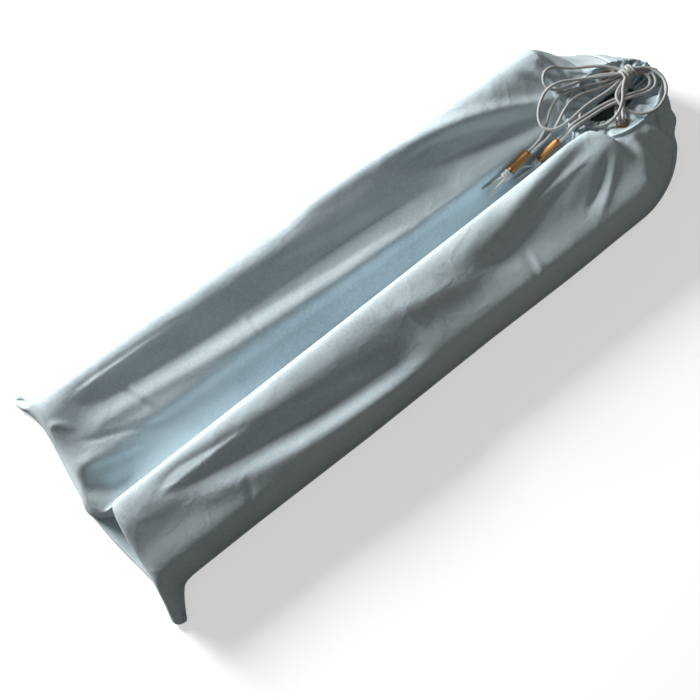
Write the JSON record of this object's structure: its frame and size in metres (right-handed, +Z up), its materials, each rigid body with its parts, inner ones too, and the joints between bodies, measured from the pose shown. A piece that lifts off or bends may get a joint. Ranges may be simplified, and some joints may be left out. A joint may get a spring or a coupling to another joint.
{
  "type": "mahjong rack bag",
  "caption": "Soft drawstring bag drawn shut over nested tile racks with pushers, closed by a bow of two cords with brass slide tubes.",
  "frame": {"origin": "middle of the bag's footprint, on the surface it lies on", "axes": "+X from the sewn end to the drawn mouth, +Y across the bag to the far stack of racks, +Z up"},
  "size_m": [0.6116, 0.24, 0.0613],
  "materials": {
    "cloth": "matt suede-like microfibre",
    "casing_cloth": "matt suede-like microfibre, stitched",
    "cord": "braided, slightly lustrous",
    "tube_brass": "polished",
    "eyelet_brass": "polished, coppery",
    "rack_plastic": "glossy",
    "pusher_plastic": "glossy",
    "pin_metal": "brushed"
  },
  "bodies": {
    "bag": {"back_panel": "cloth", "bow_knot": "cord", "drawcord_a": "cord", "drawcord_b": "cord", "eyelet_a": "eyelet_brass", "eyelet_b": "eyelet_brass", "front_panel": "cloth", "loop_a1": "cord", "loop_a2": "cord", "loop_b1": "cord", "loop_b2": "cord", "mouth_casing": "casing_cloth", "stopper_knot_a": "cord", "stopper_knot_b": "cord", "tail_a1": "cord", "tail_a2": "cord", "tail_b1": "cord", "tail_b2": "cord"},
    "rack_1": {"rack_1": "rack_plastic", "pusher_1": "pusher_plastic", "pusher_pin_1": "pin_metal"},
    "rack_2": {"rack_2": "rack_plastic", "pusher_2": "pusher_plastic", "pusher_pin_2": "pin_metal"},
    "rack_3": {"rack_3": "rack_plastic", "pusher_3": "pusher_plastic", "pusher_pin_3": "pin_metal"},
    "rack_4": {"rack_4": "rack_plastic", "pusher_4": "pusher_plastic", "pusher_pin_4": "pin_metal"},
    "cord_tube_a": {"cord_tube_a": "tube_brass"},
    "cord_tube_b": {"cord_tube_b": "tube_brass"}
  },
  "joints": [
    {"name": "rack_1_slide", "type": "slide", "parent": "bag", "child": "rack_1", "axis": [0.9998, 0.0209, 0], "range_m": [0, 0.012]},
    {"name": "rack_2_slide", "type": "slide", "parent": "bag", "child": "rack_2", "axis": [0.9998, 0.0209, 0], "range_m": [0, 0.004]},
    {"name": "rack_3_slide", "type": "slide", "parent": "bag", "child": "rack_3", "axis": [0.9996, -0.0279, 0], "range_m": [0, 0.012]},
    {"name": "rack_4_slide", "type": "slide", "parent": "bag", "child": "rack_4", "axis": [0.9996, -0.0279, 0], "range_m": [0, 0.012]},
    {"name": "cord_tube_a_slide", "type": "slide", "parent": "bag", "child": "cord_tube_a", "axis": [0.9913, 0.1127, 0.0676], "range_m": [0, 0.006]},
    {"name": "cord_tube_b_slide", "type": "slide", "parent": "bag", "child": "cord_tube_b", "axis": [0.9307, 0.0228, 0.365], "range_m": [0, 0.006]}
  ]
}
